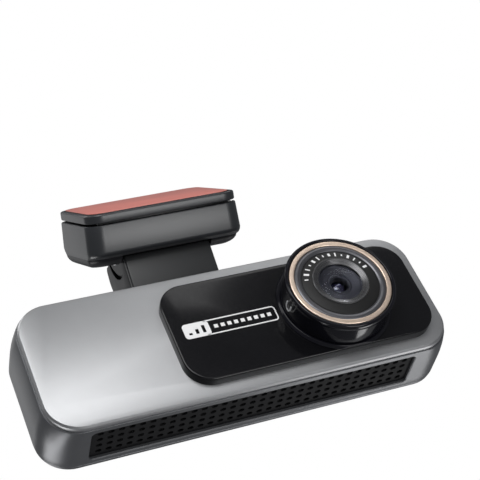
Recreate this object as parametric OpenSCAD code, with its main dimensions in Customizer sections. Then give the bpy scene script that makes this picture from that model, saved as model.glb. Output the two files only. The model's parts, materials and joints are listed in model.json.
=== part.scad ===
// Dash camera: a wide front unit with a turning lens drum, hung from a windscreen mount.
// Origin: centre of the adhesive face. +X along the camera, -Y towards the road, +Z up.

/* [Camera body] */
// Width of the silver front plate
body_w = 100; // [98:1:110]
// Height of the front plate
body_h = 34.4; // [34:0.2:38]
// Depth from the front plate's face to the back
body_d = 17.2; // [17:0.2:20]
// Corner radius of the body seen from the front
corner_r = 8; // [7:0.5:9]
// Wall thickness of the shell
wall = 1.5; // [1.2:0.1:2]
// Thickness of the silver front plate
plate_t = 1.6; // [1.2:0.1:2]
// How far each end wall swells past the front plate
end_swell = 1.3; // [0.4:0.1:2]
// Thickness of the rear cover
cover_t = 2; // [1.6:0.1:2.4]

/* [Glossy fascia] */
// Width of the raised black fascia
fascia_w = 63.8; // [62:0.2:65]
// Height of the fascia
fascia_h = 27.4; // [26:0.2:29]
// How far the fascia stands proud of the front plate
fascia_proud = 2.4; // [1.6:0.1:3]
// Fascia centre, along X from the plate's centre
fascia_x = 14.8; // [14:0.2:15]
// Fascia centre, in Z from the plate's centre
fascia_z = -0.6; // [-1:0.1:1]

/* [Lens drum] */
// Lens axis, along X from the plate's centre
lens_x = 24; // [22:0.2:26]
// Lens axis, in Z from the plate's centre
lens_z = -0.8; // [-1.4:0.1:0]
// Radius of the drum where it turns in the body
drum_r = 12.85; // [12.6:0.05:12.9]
// Radius of the drum's front lip
lip_r = 13.4; // [13.2:0.1:13.6]
// Height of the drum's shoulder, under the trim ring, above the front plate
drum_h = 9.5; // [8:0.1:11]
// Running clearance between the drum and its base ring
drum_gap = 0.08; // [0.03:0.01:0.1]

/* [Lower grille] */
// Length of the grille opening
grille_w = 80.8; // [76:0.2:82]
// Depth of the grille opening, front to back
grille_d = 10.6; // [9.6:0.1:11]
// Grille centre, along X from the plate's centre
grille_x = -0.5; // [-2:0.1:2]
// Grille centre behind the front plate's face
grille_y = 8.4; // [8:0.1:8.6]
// Number of hole columns
grille_cols = 32; // [20:1:32]
// Number of hole rows
grille_rows = 4; // [3:1:4]

/* [Windscreen mount] */
// Slope of the glass from level
glass_slope = 45; // [45:1:45]
// Length of the adhesive base plate
pad_w = 39; // [38:0.5:40]
// Length of the block under it
block_w = 40; // [40:0.5:42]
// Depth of the adhesive base plate along the glass
pad_d = 29; // [28.6:0.1:30]
// Thickness of the base plate with its pad
base_t = 2.4; // [2.2:0.1:2.8]
// Distance from the adhesive face to the foot of the block's front wall
block_b = 11.5; // [11.4:0.1:12]
// How far the block's belly hangs below the foot of its front wall
belly = 2.2; // [1.8:0.1:2.4]
// Width of the neck
neck_w = 22; // [20:0.5:22]
// Radius of the tilt pin
pin_r = 1.6; // [1.4:0.1:1.8]
// Running clearance round the tilt pin
pin_gap = 0.06; // [0.03:0.01:0.1]

/* [Controls and sockets] */
// Travel of the rear buttons
button_travel = 0.5; // [0.3:0.1:0.6]
// Radius of the rear camera socket's bore
jack_r = 1.78; // [1.77:0.01:1.8]

/* [Hidden] */
$fn = 64;
// a cut runs this far past the face it opens
over = 0.5;
// camera centre (the front plate's centre) seen from the adhesive face
cam_x = 7;
cam_y = -3.2;
cam_z = -45.1;
half_h = body_h / 2;
shell_y0 = plate_t;
shell_y1 = body_d - cover_t;
swell_y = 9;
shell_rim = 0.3;
shell_w = body_w + 2 * end_swell;
shell_h = body_h + 2 * shell_rim;
in_w = body_w - 2 * wall;
in_h = body_h - 2 * wall;
in_r = corner_r - wall;
in_top = in_h / 2;
// hinge axis in the glass frame (along the glass, out of the glass)
hinge_a = -3;
hinge_b = -9.8;
// the same axis seen from the camera's centre
hinge_y = (hinge_a - hinge_b) * sin(glass_slope) - cam_y;
hinge_z = (hinge_a + hinge_b) * cos(glass_slope) - cam_z;
knuckle_r = 5;
knuckle_gap = 0.4;
washer_t = 0.5;
slack = 0.05;
cheek_x = neck_w / 2 + washer_t + 2 * slack;
neck_x = -cam_x;
// base plate, block and rails in the glass frame
tape_t = 0.9;
liner_t = 0.1;
mount_gap = 0.5;
block_t0 = base_t + mount_gap;
rail_a = 9.4;
rail_stem = 2;
rail_head = 4;
rail_neck_b = 4.4;
rail_foot_b = 5.6;
rail_gap = 0.2;
rail_len = block_w - 8;
insert_b = 6.6;
insert_slack = 0.05;
block_wall = 1.1;
block_r = 4;
pad_r = 4;
pin_half = 15;
key_w = 8;
// satellite receiver's chamber in the block: half length, and its span along the glass
chamber_half = 16;
chamber_a = [4, 13];
// lens drum stations, as heights above the front plate
drum_back = -3.2;
skirt_h = 3.6;
base_ring_h = 3.3;
base_ring_r = 14.1;
bore_r = drum_r + drum_gap;
keeper_r = 14.4;
// radii of the rings round the lens, from the outside in
trim_r = 12.3;
shoulder_r = 11.6;
bevel_r = 11.05;
dial_r = 9.45;
inner_r = 6.9;
glass_r = 5.3;
iris_r = 1.9;
// heights of the dial's face at its outer and inner edges
dial_out_h = drum_h + 0.25;
dial_in_h = drum_h + 0.8;
// foot of the front glass, and the webs that carry the rings
glass_h = drum_h;
web_h = drum_h - 0.9;
tube_top = 7.6;
lens_tube_r = 7;
glue_line = 0.03;
// main board
board_y = 12;
board_t = 1.2;
board_x0 = -30;
board_x1 = body_w / 2 - 3.5;
board_z0 = -14.6;
board_z1 = 2;
// the board's corner is cut away round a cover screw
board_notch = [body_w / 2 - 7.6, 5.8 - half_h];
// rear controls
button_r = 2.6;
button_z = -5;
button_xs = [-6, -18];
button_proud = 0.7;
button_flange_y = shell_y1 - 0.8;
cover_screw_xs = [5.2 - body_w / 2, body_w / 2 - 5.2];
cover_screw_zs = [4.2 - half_h, half_h - 4.2];
screw_head_r = 1.7;
screw_r = 1;
screw_boss_r = 1.9;
screw_boss_d = 1.8;
screw_foot = body_d - 5;
light_x = -28;
mic_x = 6;
// sockets in the right end wall
jack_z = 4;
jack_y = 5;
usb_z = 5.2;
usb_y = board_y - 1.6;
usb_half = [1.6, 4.5];
card_z = -6;
card_y = board_y - 1;
card_half = [0.35, 5.4];
end_x = body_w / 2;
// neck: its front face's top and foot in (Y, Z), its cover and the seam behind it
neck_foot_z = half_h + shell_rim;
front_top = [3.3, 29];
front_foot = [6.5, neck_foot_z];
cover_thick = 1.8;
seam = 0.45;
lean = atan2(front_foot[0] - front_top[0], front_top[1] - front_foot[1]);
neck_screw_x = 6;
neck_screw_y = 12.6;
neck_screw_r = 1.1;

// ---- frames ----

module cam() translate([cam_x, cam_y, cam_z]) children();
module glass() rotate([glass_slope, 0, 0]) children();
module lens() cam() translate([lens_x, 0, lens_z]) rotate([90, 0, 0]) children();

// ---- shapes ----

module rrect(w, h, r) {
    square([w - 2 * r, h], center = true);
    square([w, h - 2 * r], center = true);
    for (sx = [-1, 1], sy = [-1, 1])
        translate([sx * (w / 2 - r), sy * (h / 2 - r)]) circle(r = r);
}

// a rounded plate that faces -Y and spans y0 to y1
module plate_y(w, h, r, y0, y1)
    translate([0, y1, 0]) rotate([90, 0, 0]) linear_extrude(y1 - y0) rrect(w, h, r);

// a box between two corners
module box(lo, hi) translate(lo) cube([hi[0] - lo[0], hi[1] - lo[1], hi[2] - lo[2]]);

// a turned ring about the lens axis: points are [radius, height above the plate]
module turned(points) lens() rotate_extrude($fn = 96) polygon(points);

module rod_x(r, x0, x1) translate([x0, 0, 0]) rotate([0, 90, 0]) cylinder(r = r, h = x1 - x0);
module rod_y(r, y0, y1) translate([0, y1, 0]) rotate([90, 0, 0]) cylinder(r = r, h = y1 - y0);

// ---- windscreen side ----

module pad_2d(inset) rrect(pad_w - 2 * inset, pad_d - 2 * inset, pad_r - inset / 2);

module liner_film() color("indianred")
    glass() translate([0, 0, -liner_t]) linear_extrude(liner_t) pad_2d(1.2);

module foam_tape() color("dimgray")
    glass() translate([0, 0, -tape_t]) linear_extrude(tape_t - liner_t) pad_2d(1.2);

module rail() {
    box([-rail_len / 2, -rail_stem / 2, -rail_neck_b], [rail_len / 2, rail_stem / 2, -base_t]);
    box([-rail_len / 2, -rail_head / 2, -rail_foot_b], [rail_len / 2, rail_head / 2, -rail_neck_b]);
}

module base_plate() color("darkslategray") glass() {
    difference() {
        hull() {
            translate([0, 0, -base_t]) linear_extrude(base_t - 0.6) pad_2d(0);
            translate([0, 0, -0.4]) linear_extrude(0.05) pad_2d(0.15);
            translate([0, 0, -0.25]) linear_extrude(0.05) pad_2d(0.45);
        }
        translate([0, 0, -tape_t]) linear_extrude(tape_t + over) pad_2d(1.2);
    }
    for (side = [-1, 1]) translate([0, side * rail_a, 0]) rail();
}

module contact_xy() for (i = [-1.5, -0.5, 0.5, 1.5]) translate([i * 2.5, 5, 0]) children();

module base_contacts() color("gold")
    glass() contact_xy() translate([0, 0, -base_t - 0.15]) cylinder(r = 0.9, h = 0.15, $fn = 24);

// one level of the block: its inset all round, its height, and how far its front draws back
module block_level(inset, b, back = 0)
    translate([0, back / 2, -b]) linear_extrude(0.1, $fn = 32)
        rrect(block_w - 2 * inset, pad_d - 2 * inset - back, block_r - inset / 2);

module block_body() hull() {
    block_level(0.3, block_t0 + 0.1);
    block_level(0, block_b - 2);
    block_level(0.2, block_b - 0.9, 0.3);
    block_level(0.4, block_b, 1.2);
    block_level(0.8, block_b + belly - 1, 2.6);
    block_level(2.2, block_b + belly, 4.6);
}

// the hollow in the block that the knuckle and the top of the neck turn in
module knuckle_space() {
    reach = knuckle_r + knuckle_gap;
    under = -block_b - belly - over;
    translate([0, hinge_a, hinge_b]) rod_x(reach, -cheek_x, cheek_x);
    box([-cheek_x, -12.6, under], [cheek_x, hinge_a, -8]);
    box([-cheek_x, hinge_a - reach, under], [cheek_x, hinge_a + reach, hinge_b]);
    // the belly is open across the neck's width
    box([-cheek_x, -pad_d, under], [cheek_x, 10.5, -block_b]);
}

module insert_outline(slack)
    rrect(block_w - 2 * block_wall - 2 * slack, pad_d - 2 * block_wall - 2 * slack,
        block_r - block_wall);

module rail_space(x1) for (side = [-1, 1]) translate([0, side * rail_a, 0]) {
    box([-rail_len / 2 - 0.3, -rail_stem / 2 - rail_gap, -rail_neck_b - over],
        [x1, rail_stem / 2 + rail_gap, -block_t0 + over]);
    box([-rail_len / 2 - 0.3, -rail_head / 2 - rail_gap, -rail_foot_b - rail_gap],
        [x1, rail_head / 2 + rail_gap, -rail_neck_b + rail_gap]);
}

module block_shell() color("slategray") glass() difference() {
    block_body();
    translate([0, 0, -insert_b]) linear_extrude(insert_b) insert_outline(0);
    rail_space(block_w / 2 + over);
    knuckle_space();
    box([-chamber_half, chamber_a[0], -10.2], [chamber_half, chamber_a[1], -insert_b + over]);
    translate([0, hinge_a, hinge_b]) rod_x(pin_r, -pin_half, pin_half);
    // window of the release key
    box([-key_w / 2 - 0.2, pad_d / 2 - 2, -8.8], [key_w / 2 + 0.2, pad_d / 2 + over, -6.9]);
}

module rail_insert() color("darkgray") glass() difference() {
    translate([0, 0, -insert_b]) linear_extrude(insert_b - block_t0 - 0.15)
        insert_outline(insert_slack);
    rail_space(block_w);
    translate([0, hinge_a, hinge_b]) rod_x(knuckle_r + knuckle_gap, -cheek_x, cheek_x);
    contact_xy() translate([0, 0, -insert_b - over]) cylinder(r = 0.75, h = insert_b, $fn = 24);
}

module tilt_pin() color("silver")
    glass() translate([0, hinge_a, hinge_b]) rod_x(pin_r, -pin_half, pin_half);

module friction_washers() color("lightgray")
    glass() for (side = [-1, 1]) translate([side * (cheek_x - washer_t / 2), hinge_a, hinge_b])
        difference() {
            rod_x(knuckle_r - 0.4, -washer_t / 2, washer_t / 2);
            rod_x(pin_r, -1, 1);
        }

module gps_board() color("darkgreen")
    glass() box([-15, 4.2, -8.2], [15, 11.1, -7.4]);

module gps_antenna() color("tan")
    glass() box([-13, 4.4, -10.1], [-4.5, 11, -8.2]);

module contact_pins() color("gold") glass() contact_xy() {
    translate([0, 0, -7.4]) cylinder(r = 0.7, h = 4, $fn = 24);
    translate([0, 0, -3.4]) cylinder(r = 0.4, h = 0.5, $fn = 24);
}

// push key at the back of the block that lets it slide off its rails
module release_key() color("dimgray")
    glass() difference() {
        union() {
            box([-key_w / 2, pad_d / 2 - 2.2, -8.65], [key_w / 2, pad_d / 2 + 0.6, -7.05]);
            box([-key_w / 2 - 0.8, pad_d / 2 - 2.2, -9.1], [key_w / 2 + 0.8, pad_d / 2 - 1.8, -7.05]);
        }
        for (i = [-2.4:1.2:2.4])
            box([i - 0.2, pad_d / 2 + 0.3, -8.65 - over], [i + 0.2, pad_d / 2 + 1, -7.05 + over]);
    }

// ---- neck (fixed to the camera) ----

// a point on the neck's front face, moved in behind it
function inward(p, d) = [p[0] + d * cos(lean), p[1] + d * sin(lean)];

// extrude a (y, z) outline along X, centred on the neck
module along_x(w) cam() translate([neck_x - w / 2, 0, 0])
    rotate([90, 0, 90]) linear_extrude(w) children();

module neck_core() color("dimgray") difference() {
    union() {
        along_x(neck_w) polygon([
            [inward(front_foot, cover_thick + seam)[0] + 0.2, neck_foot_z],
            inward(front_top, cover_thick + seam),
            [hinge_y - 4.6, hinge_z - 1.6], [hinge_y + 2, hinge_z + 0.5],
            [hinge_y + 4.9, hinge_z],
            [19.3, 38.5], [20, 38.1], [21.6, 34.4], [21.2, 30], [18.8, 22.5], [16.4, neck_foot_z]]);
        cam() translate([neck_x, hinge_y, hinge_z]) rod_x(knuckle_r, -neck_w / 2, neck_w / 2);
    }
    cam() translate([neck_x, hinge_y, hinge_z])
        rod_x(pin_r + pin_gap, -neck_w / 2 - 1, neck_w / 2 + 1);
    // curved stop grooves round the hinge, one in each side
    for (side = [-1, 1])
        cam() translate([neck_x + side * neck_w / 2, hinge_y, hinge_z])
            rotate([0, 90, 0]) rotate([0, 0, 12])
                rotate_extrude(angle = 74) translate([7.3, -1]) square([1.5, 2]);
    for (i = [-1, 1])
        cam() translate([neck_x + neck_screw_x * i, neck_screw_y, neck_foot_z - 1])
            cylinder(r = neck_screw_r, h = 9);
}

module neck_cover() color("gray") along_x(neck_w + 0.4) polygon([
    front_foot, [inward(front_foot, cover_thick)[0] + 0.1, neck_foot_z],
    inward(front_top, cover_thick), front_top]);

module neck_screws() color("silver") for (i = [-1, 1])
    cam() translate([neck_x + neck_screw_x * i, neck_screw_y, in_top]) {
        translate([0, 0, -1.2]) cylinder(r = 2, h = 1.2);
        cylinder(r = neck_screw_r, h = 8);
    }

// ---- camera body ----

module lens_hole(r) lens() translate([0, 0, -body_d]) cylinder(r = r, h = 2 * body_d);

module front_plate() color("lightgray") difference() {
    cam() hull() {
        plate_y(body_w, body_h, corner_r, 0.7, plate_t, $fn = 48);
        plate_y(body_w - 1.4, body_h - 1.4, corner_r - 0.7, 0, 0.1, $fn = 48);
    }
    lens_hole(bore_r);
}

// the fascia's outline drawn out from y0 to y1
module fascia_outline(y0, y1)
    cam() translate([fascia_x, 0, fascia_z]) plate_y(fascia_w, fascia_h, 6.5, y0, y1, $fn = 48);

module fascia() color("black") difference() {
    cam() translate([fascia_x, 0, fascia_z]) hull() {
        plate_y(fascia_w, fascia_h, 6.5, -fascia_proud + 0.6, 0, $fn = 48);
        plate_y(fascia_w - 0.8, fascia_h - 0.8, 6.1, -fascia_proud, -fascia_proud + 0.1, $fn = 48);
    }
    lens_hole(bore_r);
}

// plain outlined label with one filled end, with no wording
module badge() color("white") cam() translate([0, -fascia_proud, 0]) {
    difference() {
        translate([-2.5, 0, -0.4]) plate_y(23.4, 4.2, 0.9, -0.12, 0);
        translate([-2.5, 0, -0.4]) plate_y(22.8, 3.6, 0.7, -0.12 - over, over);
    }
    difference() {
        translate([-11, 0, -0.4]) plate_y(6.2, 3.7, 0.7, -0.12, 0);
        for (i = [0:2])
            box([-13 + 1.5 * i, -1, -1.2], [-12.3 + 1.5 * i, 1, -0.9 + 0.7 * i]);
    }
}

// flush with the fascia's lower edge, which it just reaches
module lens_base_ring() color("black") intersection() {
    turned([[bore_r, fascia_proud], [base_ring_r, fascia_proud],
        [base_ring_r - 0.6, base_ring_h], [bore_r, base_ring_h]]);
    fascia_outline(-body_d, 0);
}

module shell_outer() {
    hull() {
        plate_y(body_w + 2 * shell_rim, shell_h, corner_r, shell_y0, shell_y0 + 0.1, $fn = 48);
        plate_y(shell_w, shell_h, corner_r, swell_y, swell_y + 1, $fn = 48);
    }
    hull() {
        plate_y(shell_w, shell_h, corner_r, swell_y, swell_y + 1, $fn = 48);
        plate_y(shell_w - 0.4, shell_h, corner_r, shell_y1 - 0.1, shell_y1, $fn = 48);
    }
}

// a window in the right end, wider than its socket by spare
module end_window(y, z, half, spare)
    box([end_x - 4, y - half[0] - spare, z - half[1] - spare],
        [end_x + 3, y + half[0] + spare, z + half[1] + spare]);

// posts inside the corners that the cover screws bite in
module screw_bosses() for (x = cover_screw_xs, z = cover_screw_zs)
    cam() translate([x, 0, z]) rod_y(screw_boss_r, shell_y1 - screw_boss_d, shell_y1);

module shell() color("dimgray") difference() {
    cam() shell_outer();
    difference() {
        cam() plate_y(in_w, in_h, in_r, 0, body_d);
        screw_bosses();
    }
    for (x = cover_screw_xs, z = cover_screw_zs) cam() translate([x, 0, z]) rod_y(screw_r, 0, body_d);
    // grille opening
    cam() box([grille_x - grille_w / 2, grille_y - grille_d / 2, -body_h],
        [grille_x + grille_w / 2, grille_y + grille_d / 2, -in_top + 0.2]);
    // openings of the end sockets
    cam() translate([0, jack_y, jack_z]) rod_x(2.9, end_x - 4, end_x + 3);
    cam() end_window(usb_y, usb_z, usb_half, 0.2);
    cam() end_window(card_y, card_z, card_half, 0.35);
    for (i = [-1, 1])
        cam() translate([neck_x + neck_screw_x * i, neck_screw_y, in_top - 1])
            cylinder(r = neck_screw_r, h = 4);
}

module rear_cover() color("gray") difference() {
    cam() hull() {
        plate_y(shell_w - 0.4, shell_h, corner_r, shell_y1, shell_y1 + 0.4, $fn = 48);
        plate_y(shell_w - 4, shell_h - 3.4, corner_r - 1.5, body_d - 0.1, body_d, $fn = 48);
    }
    for (x = button_xs) cam() translate([x, 0, button_z]) rod_y(button_r + 0.3, 0, body_d + 1);
    for (x = cover_screw_xs, z = cover_screw_zs) cam() translate([x, 0, z]) {
        rod_y(screw_head_r + 0.1, body_d - 1.1, body_d + 1);
        rod_y(screw_r, 0, body_d + 1);
    }
    cam() translate([light_x, 0, button_z]) rod_y(0.8, 0, body_d + 1);
    cam() translate([mic_x, 0, button_z]) rod_y(0.5, 0, body_d + 1);
}

module cover_screws() color("silver") for (x = cover_screw_xs, z = cover_screw_zs)
    cam() translate([x, 0, z]) {
        difference() {
            rod_y(screw_head_r, body_d - 1.1, body_d - 0.2);
            for (t = [0, 60, 120]) rotate([0, t, 0])
                box([-0.9, body_d - 0.7, -0.25], [0.9, body_d, 0.25]);
        }
        rod_y(screw_r, screw_foot, body_d - 1.1);
    }

module grille_holes() {
    pitch_x = (grille_w - 2.2) / grille_cols;
    pitch_y = (grille_d - 1.4) / grille_rows;
    for (i = [0:grille_cols - 1], j = [0:grille_rows - 1])
        translate([grille_x + (i - (grille_cols - 1) / 2) * pitch_x,
                   grille_y + (j - (grille_rows - 1) / 2) * pitch_y])
            circle(r = 0.55, $fn = 16);
}

module grille_panel() color("black") cam()
    translate([0, 0, -half_h + 0.5]) linear_extrude(0.8) difference() {
        translate([grille_x, grille_y]) square([grille_w, grille_d], center = true);
        grille_holes();
    }

module dust_mesh() color("darkslategray") cam()
    box([grille_x - grille_w / 2 + 0.5, grille_y - grille_d / 2 + 0.5, -half_h + 1.3],
        [grille_x + grille_w / 2 - 0.5, grille_y + grille_d / 2 - 0.5, -half_h + 1.5]);

module speaker() color("dimgray") cam() translate([-37, 8.2, -half_h + 1.6]) {
    rotate_extrude($fn = 48) polygon([[0, 1.2], [1.8, 1.6], [4.2, 0.5], [4.4, 0], [5.2, 0],
        [5.2, 1.4], [3.6, 3.4], [0, 3.4]]);
}

module main_board() color("darkgreen") cam() difference() {
    box([board_x0, board_y, board_z0], [board_x1, board_y + board_t, board_z1]);
    box([board_notch[0], 0, board_z0 - 1], [body_w, body_d, board_notch[1]]);
}

module processor() color("black") cam()
    box([-6, board_y - 1.4, -12], [6, board_y, 0]);

module memory_chips() color("black") cam() for (x = [-24, -14.5])
    box([x, board_y - 1, -6], [x + 6.5, board_y, 1]);

module thermal_pad() color("lightblue") cam()
    box([-5.5, board_y - 2.1, -11.5], [5.5, board_y - 1.4, -0.5]);

module heat_sink() color("silver") cam() difference() {
    box([-7, 3.4, -12.5], [7, board_y - 2.1, 0.5]);
    for (i = [0:4])
        box([-5.6 + 2.4 * i, 3.4 - over, -13], [-4 + 2.4 * i, 8.8, 1]);
}

module capacitors() color("steelblue") cam() for (z = [2, 10.6])
    translate([0, 7, z]) rod_x(4, -44, -24);

module wifi_antenna() color("tan") cam()
    box([8, shell_y1 - 0.4, 8], [34, shell_y1, 12]);

module microphone() color("silver") cam()
    box([mic_x - 1.6, board_y + board_t, button_z - 1.4], [mic_x + 1.6, shell_y1, button_z + 1.4]);

module usb_socket() color("silver") cam() difference() {
    box([end_x - 8, usb_y - usb_half[0], usb_z - usb_half[1]],
        [end_x - 0.2, usb_y + usb_half[0], usb_z + usb_half[1]]);
    box([end_x - 7, usb_y - usb_half[0] + 0.4, usb_z - usb_half[1] + 0.4],
        [end_x + 1, usb_y + usb_half[0] - 0.4, usb_z + usb_half[1] - 0.4]);
}

module jack_socket() color("black") cam() translate([0, jack_y, jack_z]) difference() {
    rod_x(2.8, end_x - 10, end_x + 0.2);
    rod_x(jack_r, end_x - 9, end_x + 1);
}

module card_socket() color("silver") cam() difference() {
    box([end_x - 17, card_y - 1, card_z - 5.8], [end_x - 2.2, card_y + 1, card_z + 5.8]);
    box([end_x - 16.5, card_y - 0.65, card_z - 5.6], [end_x, card_y + 0.65, card_z + 5.6]);
}

module memory_card() color("black") cam() difference() {
    box([end_x - 14.6, card_y - card_half[0], card_z - card_half[1]],
        [end_x + 0.4, card_y + card_half[0], card_z + card_half[1]]);
    box([end_x - 16, card_y - 1, card_z + 4.6], [end_x - 8, card_y + 1, card_z + 6]);
}

module status_light() color("lightcyan") cam() translate([light_x, 0, button_z])
    rod_y(0.75, board_y + board_t, body_d - 0.1);

module push_button(x) cam() translate([x, 0, button_z]) {
    difference() {
        rod_y(button_r, button_flange_y, body_d + button_proud);
        rod_y(button_r - 1, body_d + button_proud - 0.2, body_d + 2);
    }
    rod_y(button_r + 0.7, button_flange_y, button_flange_y + 0.4);
}

module record_button() color("lightgray") push_button(button_xs[0]);
module event_button() color("lightgray") push_button(button_xs[1]);

module button_switches() color("silver") for (x = button_xs) cam() translate([x, 0, button_z])
    box([-1.5, board_y + board_t, -1.5], [1.5, board_y + board_t + 0.35, 1.5]);

// ---- lens drum ----

// journal in the body, a wider skirt above the base ring, and a lip round the trim ring
module drum_barrel() color("black") turned([
    [shoulder_r, drum_back], [drum_r, drum_back], [drum_r, skirt_h], [lip_r - 0.2, skirt_h],
    [lip_r - 0.2, drum_h - 1], [lip_r, drum_h - 0.4], [lip_r, drum_h + 0.4],
    [lip_r - 0.3, drum_h + 0.7], [trim_r, drum_h + 0.7], [trim_r, drum_h], [shoulder_r, drum_h]]);

module drum_retainer() color("dimgray") turned([
    [drum_r, drum_back], [keeper_r, drum_back], [keeper_r, -2], [drum_r, -2]]);

module gold_ring() color("gold") turned([
    [bevel_r, drum_h], [trim_r, drum_h], [trim_r, drum_h + 0.4], [trim_r - 0.3, drum_h + 0.6],
    [bevel_r + 0.2, drum_h + 0.6], [bevel_r, drum_h + 0.4]]);

module bevel_ring() color("gray") turned([
    [dial_r, web_h], [shoulder_r, web_h], [shoulder_r, drum_h], [bevel_r, drum_h],
    [bevel_r, drum_h + 0.35], [10.3, drum_h + 0.55], [dial_r, dial_out_h + 0.05]]);

module dial_ring() color("black") turned([
    [inner_r, web_h - 0.4], [shoulder_r, web_h - 0.4], [shoulder_r, web_h], [dial_r, web_h],
    [dial_r, dial_out_h], [inner_r, dial_in_h]]);

// height of the dial's face at radius r
function dial_h(r) = dial_out_h + (dial_in_h - dial_out_h) * (dial_r - r) / (dial_r - inner_r);

// plain radial dashes printed round the upper arc of the dial
module dial_marks() color("white") for (i = [0:13]) {
    mark_in = i % 3 == 0 ? 7.5 : 7.8;
    mark_out = 8.8;
    print_t = 0.05;
    spread = i % 2 == 0 ? 3.6 : 2.2;
    lens() rotate([0, 0, 20 + i * 11 - spread / 2]) rotate_extrude(angle = spread) polygon([
        [mark_in, dial_h(mark_in)], [mark_out, dial_h(mark_out)],
        [mark_out, dial_h(mark_out) + print_t], [mark_in, dial_h(mark_in) + print_t]]);
}

module inner_ring() color("gray") turned([
    [glass_r, web_h + 0.3], [inner_r, web_h + 0.3], [inner_r, dial_in_h + 0.1],
    [inner_r - 0.4, dial_in_h + 0.25], [glass_r, glass_h + 0.5]]);

module front_lens() color("midnightblue", 0.4) lens() intersection() {
    translate([0, 0, glass_h - 13.1]) sphere(r = 14.5, $fn = 96);
    translate([0, 0, glass_h]) cylinder(r = glass_r, h = 2, $fn = 96);
}

// dark funnel behind the front glass
module lens_baffle() color("black") turned([
    [iris_r, tube_top], [inner_r, tube_top], [inner_r, web_h + 0.3], [glass_r, web_h + 0.3],
    [glass_r, glass_h], [glass_r - 0.4, glass_h], [2.6, 8.45], [iris_r, 8.3]]);

module iris_lens() color("darkblue") lens() intersection() {
    translate([0, 0, 5.8]) sphere(r = 2.5, $fn = 64);
    translate([0, 0, tube_top - 1]) cylinder(r = iris_r, h = 2, $fn = 64);
}

module lens_tube() color("dimgray") turned([
    [5, -9.6], [lens_tube_r, -9.6], [lens_tube_r, -1], [6.6, -1], [6.6, 5.4], [inner_r, 5.4],
    [inner_r, tube_top], [iris_r, tube_top], [iris_r, tube_top - 1], [5, tube_top - 1]]);

// round, so that it turns clear of the card socket
module sensor_board() color("darkgreen")
    turned([[0, -10.6], [8.3, -10.6], [8.3, -9.6], [0, -9.6]]);

module image_sensor() color("darkslateblue") lens()
    translate([-3.5, -2.5, -9.6]) cube([7, 5, 0.8]);

// small open arrow moulded on the drum's side, pointing at the base ring
module index_mark() color("gray") lens() difference() {
    rotate([0, 0, 185]) translate([lip_r - 0.6, 0, 6.2]) rotate([90, 0, 90]) linear_extrude(0.6)
        difference() {
            polygon([[-1.1, 0.9], [-1.1, -0.3], [0, -1.4], [1.1, -0.3], [1.1, 0.9]]);
            polygon([[-0.6, 1.1], [-0.6, -0.1], [0, -0.7], [0.6, -0.1], [0.6, 1.1]]);
        }
    translate([0, 0, skirt_h]) cylinder(r = lip_r - 0.2 + glue_line, h = drum_h, $fn = 128);
}

liner_film();
foam_tape();
base_plate();
base_contacts();
block_shell();
rail_insert();
tilt_pin();
friction_washers();
gps_board();
gps_antenna();
contact_pins();
release_key();
neck_core();
neck_cover();
neck_screws();
front_plate();
fascia();
badge();
lens_base_ring();
shell();
rear_cover();
cover_screws();
grille_panel();
dust_mesh();
speaker();
main_board();
processor();
memory_chips();
thermal_pad();
heat_sink();
capacitors();
wifi_antenna();
microphone();
usb_socket();
jack_socket();
card_socket();
memory_card();
status_light();
record_button();
event_button();
button_switches();
drum_barrel();
drum_retainer();
gold_ring();
bevel_ring();
dial_ring();
dial_marks();
inner_ring();
front_lens();
lens_baffle();
iris_lens();
lens_tube();
sensor_board();
image_sensor();
index_mark();
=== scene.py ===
import json
import math

import bmesh
import bpy
from mathutils import Matrix, Vector


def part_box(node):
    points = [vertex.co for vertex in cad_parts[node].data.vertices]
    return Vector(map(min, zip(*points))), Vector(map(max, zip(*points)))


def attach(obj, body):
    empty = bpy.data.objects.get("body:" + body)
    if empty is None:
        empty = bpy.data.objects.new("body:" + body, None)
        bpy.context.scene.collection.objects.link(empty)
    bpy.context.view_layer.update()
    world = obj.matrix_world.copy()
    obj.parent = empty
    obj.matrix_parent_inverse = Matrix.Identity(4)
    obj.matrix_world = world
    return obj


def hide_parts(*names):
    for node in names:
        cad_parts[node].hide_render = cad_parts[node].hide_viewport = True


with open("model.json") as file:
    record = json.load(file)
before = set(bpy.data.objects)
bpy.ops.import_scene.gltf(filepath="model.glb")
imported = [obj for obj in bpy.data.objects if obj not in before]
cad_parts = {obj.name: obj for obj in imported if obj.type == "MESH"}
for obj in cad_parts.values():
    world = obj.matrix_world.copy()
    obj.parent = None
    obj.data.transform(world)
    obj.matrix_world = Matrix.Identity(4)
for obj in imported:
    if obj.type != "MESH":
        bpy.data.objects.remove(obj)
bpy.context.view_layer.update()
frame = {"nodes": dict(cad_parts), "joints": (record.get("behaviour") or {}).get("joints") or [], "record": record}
MM = 0.001

# ---------------------------------------------------------------- places, all in millimetres

def box_mm(node):
    """Lowest and highest corners of a CAD node, in millimetres."""
    lo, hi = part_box(node)
    return lo / MM, hi / MM


def middle(node):
    """X and Z of a CAD node's middle, in the camera's frame."""
    lo, hi = box_mm(node)
    return (lo.x + hi.x) / 2 - CENTRE.x, (lo.z + hi.z) / 2 - CENTRE.z


PLATE_LO, PLATE_HI = box_mm("front_plate")
FASCIA_LO, FASCIA_HI = box_mm("fascia")
SHELL_LO, SHELL_HI = box_mm("shell")
COVER_LO, COVER_HI = box_mm("rear_cover")
RING_LO, RING_HI = box_mm("gold_ring")
GRILLE_LO, GRILLE_HI = box_mm("grille_panel")
NECK_LO, NECK_HI = box_mm("neck_core")
JOINTS = {joint["name"]: joint for joint in frame["joints"]}
MOUNTS = {mount["name"]: mount for mount in frame["record"]["mounts"]}

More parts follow.
